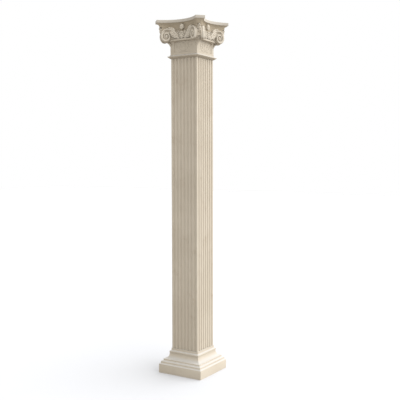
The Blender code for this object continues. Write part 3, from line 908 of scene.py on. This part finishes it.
# Corners: the leaf that folds round the neck, and the bud with its knob between two volutes
cornerForm = {
    "side": 0.346, "height": 0.062, "width": 0.028, "lip": 0.004, "root": 0.003, "round": 0.006,
    "steps": 30, "rootWidth": 0.62, "tuck": 0.012,
    "rollSetback": 0.006, "rollFoot": 0.002, "rollRise": 0.010, "tipSetback": 0.008,
    "tipReach": 0.006, "tipSteps": 8,
    "leaf": {"lobes": 4, "notch": 0.32, "lean": 0.15, "rise": 0.0075, "rib": 0.0018, "curl": 0.004,
             "root": 0.66, "blunt": 5.0, "lobeSteps": 16, "across": 22},
}
budForm = {
    "low": 0.074, "high": -0.001, "width": 0.015, "tuck": 0.03, "fullness": 0.004,
    "footSwell": 0.15, "swell": 1.7, "overshoot": 1.02,
    "knob": 0.0090, "knobDrop": 0.0100, "knobOut": 0.0145, "knobRings": 12, "knobSides": 18,
    "knobCap": 0.12,  # share of a ring that is left flat at each pole
    "leaf": {"lobes": 3, "notch": 0.28, "lean": 0.16, "rise": 0.0120, "rib": 0.0026, "curl": 0.0,
             "root": 0.75, "blunt": 5.0, "lobeSteps": 16, "across": 18},
}
hornFront = (halfWidth + halfChord) / sqrt(2) - capitalForm["hornSetback"]


def cornerProfile():
    # Up the flare and round the tip that laps over the lip, as pairs of (half side, level)
    form = cornerForm
    half, level = form["side"] / 2, lipLevel - form["lip"]
    foot = (capitalForm["neckSide"] / 2 - form["root"], lipLevel - form["height"])
    profile = quarter(foot, (half - form["rollSetback"], level - form["rollFoot"]), form["steps"], True)
    for step in range(1, form["tipSteps"] + 1):
        turn = pi * step / form["tipSteps"]
        profile.append((half - form["tipSetback"] + form["tipReach"] * sin(turn),
                        level + form["rollRise"] - form["rollRise"] * cos(turn)))
    return profile


def cornerLeafShell():
    form = cornerForm
    profile = cornerProfile()
    count = len(profile) - 1
    deep = capitalForm["neckSide"] / 2 - form["tuck"]
    rings = []
    for cells in leafGrid(form["leaf"]):
        front = []
        for t, q, out in cells:
            t = min(t, 1.0)
            low = min(int(t * count), count - 1)
            share = t * count - low
            half, level = (start + (end - start) * share
                           for start, end in zip(profile[low], profile[low + 1]))
            fold = q * form["width"] * (form["rootWidth"] + (1 - form["rootWidth"]) * t)
            bow = sqrt(fold * fold + form["round"] ** 2)
            x = half - (bow - fold) / 2 + out * (1 + fold / bow) / 2
            y = half - (bow + fold) / 2 + out * (1 - fold / bow) / 2
            front.append(Vector((x, -y, level)))
        rings.append(front + [Vector((deep, -deep, front[len(front) // 2].z))])
    return loft(rings)


def budShell():
    # Leaf on the horn, drawn across the diagonal
    form = budForm
    low, high = abacusBed - form["low"], abacusBed + form["high"]
    tuck = Vector((-1, 1, 0)) * (form["tuck"] / sqrt(2))
    rings = []
    for cells in leafGrid(form["leaf"]):
        front = []
        for t, q, out in cells:
            swell = min(1.0, form["footSwell"] + form["swell"] * t)
            along, away = q * form["width"], hornFront + swell * (out + form["fullness"] * (1 - abs(q)))
            level = low + (high - low) * min(t, form["overshoot"])
            front.append(Vector(((away + along) / sqrt(2), (along - away) / sqrt(2), level)))
        rings.append(front + [front[-1] + tuck, front[0] + tuck])
    return loft(rings)


def knobShell():
    form = budForm
    away = (hornFront + form["knobOut"]) / sqrt(2)
    middle = abacusBed - form["knobDrop"]
    rings = []
    for k in range(form["knobRings"] + 1):
        rise = pi * (k + form["knobCap"]) / (form["knobRings"] + 2 * form["knobCap"]) - pi / 2
        size, level = form["knob"] * cos(rise), middle + form["knob"] * sin(rise)
        rings.append([Vector((away + size * cos(turn), size * sin(turn) - away, level))
                      for turn in around(form["knobSides"])])
    return loft(rings)


def panelShells():
    # Spray of five low leaves in the sunk panel of the necking
    foot = panelFoot + sprayFoot
    face = capitalForm["panelSide"] / 2
    shells = [leafShell("panelMiddle", pullsFrom(foot, leafCourses["panelMiddle"]))]
    for side in (-1, 1):
        for course in ("panelOuter", "panelInner"):
            pairs = [(side * along, up) for along, up in leafCourses[course]]
            shells.append(leafShell("panelSide", pullsFrom(foot, pairs)))
    return [([(x, y - face, z) for x, y, z in points], faces) for points, faces in shells]


# Carving as a whole
# The first pair: depths over which painted light makes the raised carving paler
carvingForm = {"paintedLightDepths": (0.014, 0.002), "sharpFrom": 50}


def halfFaceShells():
    # Volute, helix, and the leaves that sheathe the stalk and fill the spandrel
    stalk = stalkPulls()
    shells = scrollShells(voluteForm, stalkForm, stalk, 1)
    shells += scrollShells(helixForm, vineForm, vinePulls(), -1)
    anchors = (stalk[0], stalk[1], stalk[1], stalk[1])
    sheath = [anchor + Vector(shift) for anchor, shift in zip(anchors, leafCourses["sheath"])]
    shells.append(leafShell("calyx", sheath))
    shells.append(leafShell("spandrel", pullsFrom(abacusBed, leafCourses["spandrel"])))
    return shells


def makeCarving():
    middleShells = [leafShell("upright", pullsFrom(lipTop, leafCourses["upright"]))] + fleuronShells()
    cornerShells = [cornerLeafShell(), budShell(), knobShell()] + panelShells()
    half = ringed(gather("halfFace", halfFaceShells()), ring, "halfFaces", True, True)
    middle = ringed(gather("middleFace", middleShells), ring, "middleFaces", True, False)
    straight = ringed(gather("cornerShells", cornerShells), ring, "corners", False, False)
    carving = joined("carving", [half, middle, straight])
    # Painted light: carving that stands forward of the wall is paler
    marked(carving, "paintedReliefLight", (lipLevel, column["height"]), carvingForm["paintedLightDepths"])
    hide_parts("capital")
    finished(carving, stone, carvingForm["sharpFrom"])


makeCarving()
print("carving done")

# Floor, light and camera. Turn, rise and softness are in degrees, the camera's other angles in radians
stage = {
    "floor": 0.47, "floorSize": 60.0, "sky": 1.0, "sunTurn": 37.0, "sunRise": 49.0,
    "sunSoftness": 102.0, "sunStrength": 5.2, "sunColour": (0.985, 1.0, 1.045),
}
camera = {
    "lens": 61.9035, "sensor": 36.0, "turn": 32.671, "pitch": 0.0575, "roll": -0.0017,
    "aside": 0.0109, "distance": 5.9581, "height": 1.8391,
}


def makeFloor():
    half = stage["floorSize"] / 2
    mesh = bpy.data.meshes.new("floor")
    mesh.from_pydata([(x * half, y * half, 0.0) for x, y in squareCorners], [], [(0, 1, 2, 3)])
    floor = placed("floor", mesh)
    material = bpy.data.materials.new("floorPaint")
    material.use_nodes = True
    shader = material.node_tree.nodes["Principled BSDF"]
    shader.inputs["Base Color"].default_value = (stage["floor"],) * 3 + (1.0,)
    shader.inputs["Roughness"].default_value = 1.0
    shader.inputs["Specular IOR Level"].default_value = 0.0
    mesh.materials.append(material)


def makeLight():
    world = bpy.data.worlds.new("studio")
    world.use_nodes = True
    sky = world.node_tree.nodes["Background"]
    sky.inputs["Color"].default_value = (1.0, 1.0, 1.0, 1.0)
    sky.inputs["Strength"].default_value = stage["sky"]
    scene.world = world
    lamp = bpy.data.lights.new("key", "SUN")
    lamp.energy = stage["sunStrength"]
    lamp.angle = radians(stage["sunSoftness"])
    lamp.color = stage["sunColour"]
    key = placed("key", lamp)
    turn, rise = radians(stage["sunTurn"]), radians(stage["sunRise"])
    towards = Vector((cos(rise) * cos(turn), cos(rise) * sin(turn), sin(rise)))
    key.rotation_mode = "QUATERNION"
    key.rotation_quaternion = towards.to_track_quat("Z", "Y")
    scene.view_settings.view_transform = "Standard"


def makeCamera():
    turn = radians(camera["turn"])
    pitch, roll, aside = camera["pitch"], camera["roll"], camera["aside"]
    ahead, right = Vector((-sin(turn), cos(turn), 0)), Vector((cos(turn), sin(turn), 0))
    up = Vector((0, 0, 1))
    ahead, right = ahead * cos(aside) + right * sin(aside), right * cos(aside) - ahead * sin(aside)
    ahead, up = ahead * cos(pitch) - up * sin(pitch), up * cos(pitch) + ahead * sin(pitch)
    right, up = right * cos(roll) + up * sin(roll), up * cos(roll) - right * sin(roll)
    lens = bpy.data.cameras.new("camera")
    lens.sensor_width = camera["sensor"]
    lens.lens = camera["lens"]
    made = placed("camera", lens)
    place = Matrix((right, up, -ahead)).transposed().to_4x4()
    distance = camera["distance"]
    place.translation = Vector((sin(turn) * distance, -cos(turn) * distance, camera["height"]))
    made.matrix_world = place
    scene.camera = made


makeFloor()
makeLight()
makeCamera()
print("floor, light and camera done")
